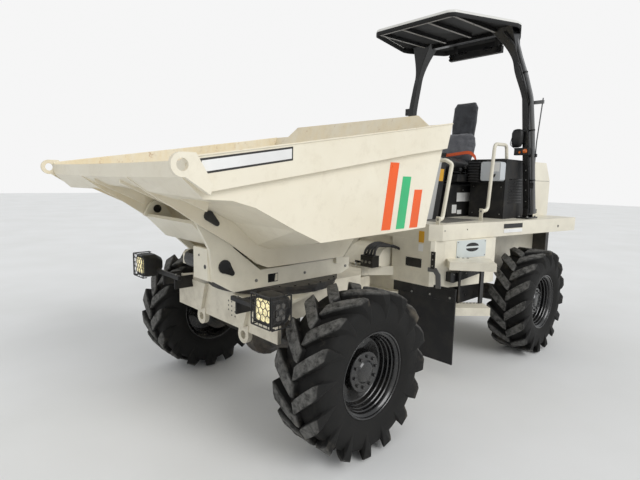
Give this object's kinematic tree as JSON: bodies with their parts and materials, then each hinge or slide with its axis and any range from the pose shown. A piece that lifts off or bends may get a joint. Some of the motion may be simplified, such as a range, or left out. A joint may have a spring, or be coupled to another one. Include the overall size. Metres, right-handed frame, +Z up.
{
  "type": "site dumper",
  "caption": "Articulated site dumper with a swivelling tipping skip in front, an open operator's deck with a seat, two protection posts, a canopy and a rear engine hood.",
  "frame": {"origin": "on the ground under the middle of the machine's bounding box", "axes": "+Z up, the skip looks along -Y, +X is the machine's left side"},
  "size_m": [2.1, 4.636, 3.0971],
  "materials": {
    "skip_paint": "painted, weathered",
    "body_paint": "painted, semi gloss",
    "grey_metal": "painted, matt",
    "dark_metal": "painted, semi matt",
    "tyre": "dusty rubber",
    "rubber": "matt",
    "steel": "ground",
    "chrome": "polished",
    "black_plastic": "grained",
    "grey_fabric": "woven",
    "lamp": "clear",
    "white": "painted"
  },
  "bodies": {
    "rear": {"rear_frame": "body_paint", "pivot_pin": "steel", "counterweight": "dark_metal", "rear_lamps": "lamp", "deck": "body_paint", "engine": "dark_metal", "bulkhead": "dark_metal", "hood_hinges": "steel", "steps": "body_paint", "mudflaps": "rubber", "dashboard": "black_plastic", "seat_base": "black_plastic", "seat": "grey_fabric", "steering_wheel": "black_plastic", "handrails": "body_paint", "protection_posts": "dark_metal", "canopy": "white", "canopy_frame": "grey_metal", "rear_lamp_bar": "black_plastic", "rear_axle": "dark_metal", "steer_cylinder_pin": "steel"},
    "front": {"front_frame": "body_paint", "front_axle": "dark_metal", "slew_ring_lower": "dark_metal", "headlights": "black_plastic"},
    "slew": {"tipping_frame": "body_paint", "slew_ring_upper": "dark_metal", "cylinder_base_pin": "steel"},
    "skip": {"skip_body": "skip_paint", "skip_lifting_eyes": "skip_paint", "skip_ribs": "skip_paint", "skip_cylinder_bracket": "skip_paint", "tip_pins": "steel"},
    "tip_barrel": {"tip_cylinder_barrel": "dark_metal"},
    "tip_rod": {"tip_cylinder_rod": "chrome"},
    "steer_barrel": {"steer_cylinder_barrel": "dark_metal"},
    "steer_rod": {"steer_cylinder_rod": "chrome"},
    "hood": {"engine_hood": "body_paint"},
    "wheel_fl": {"tyre_fl": "tyre", "rim_fl": "dark_metal"},
    "wheel_fr": {"tyre_fr": "tyre", "rim_fr": "dark_metal"},
    "wheel_rl": {"tyre_rl": "tyre", "rim_rl": "dark_metal"},
    "wheel_rr": {"tyre_rr": "tyre", "rim_rr": "dark_metal"}
  },
  "joints": [
    {"name": "steer", "type": "hinge", "parent": "rear", "child": "front", "pos_m": [0, -0.132, 0.71], "axis": [0, 0, 1], "range_deg": [-30, 30]},
    {"name": "slew", "type": "hinge", "parent": "front", "child": "slew", "pos_m": [0, -1.092, 0.9], "axis": [0, 0, 1], "range_deg": [-90, 90]},
    {"name": "tip", "type": "hinge", "parent": "slew", "child": "skip", "pos_m": [0, -1.812, 1.38], "axis": [1, 0, 0], "range_deg": [0, 62]},
    {"name": "tip_barrel_swing", "type": "hinge", "parent": "slew", "child": "tip_barrel", "pos_m": [0, -1.697, 1.078], "axis": [1, 0, 0], "range_deg": [-1, 59]},
    {"name": "tip_rod_slide", "type": "slide", "parent": "tip_barrel", "child": "tip_rod", "axis": [0, 0.9982, 0.0603], "range_m": [0, 0.331]},
    {"name": "steer_barrel_swing", "type": "hinge", "parent": "rear", "child": "steer_barrel", "pos_m": [-0.4, 0.268, 0.59], "axis": [0, 0, 1], "range_deg": [-16, 16]},
    {"name": "steer_rod_slide", "type": "slide", "parent": "steer_barrel", "child": "steer_rod", "axis": [0.0811, -0.9967, 0], "range_m": [-0.2, 0.2]},
    {"name": "hood_lift", "type": "hinge", "parent": "rear", "child": "hood", "pos_m": [0, 1.65, 1.838], "axis": [1, 0, 0], "range_deg": [0, 60]},
    {"name": "wheel_fl_spin", "type": "hinge", "parent": "front", "child": "wheel_fl", "pos_m": [0.87, -1.152, 0.49], "axis": [1, 0, 0], "continuous": true},
    {"name": "wheel_fr_spin", "type": "hinge", "parent": "front", "child": "wheel_fr", "pos_m": [-0.87, -1.152, 0.49], "axis": [1, 0, 0], "continuous": true},
    {"name": "wheel_rl_spin", "type": "hinge", "parent": "rear", "child": "wheel_rl", "pos_m": [0.87, 1.338, 0.49], "axis": [1, 0, 0], "continuous": true},
    {"name": "wheel_rr_spin", "type": "hinge", "parent": "rear", "child": "wheel_rr", "pos_m": [-0.87, 1.338, 0.49], "axis": [1, 0, 0], "continuous": true}
  ],
  "couplings": [
    {"joint": "tip_barrel_swing", "follows": "tip", "ratio": 0.92915},
    {"joint": "tip_rod_slide", "follows": "tip", "m_per_rad": 0.30175},
    {"joint": "steer_barrel_swing", "follows": "steer", "ratio": 0.50036},
    {"joint": "steer_rod_slide", "follows": "steer", "m_per_rad": 0.36206}
  ]
}
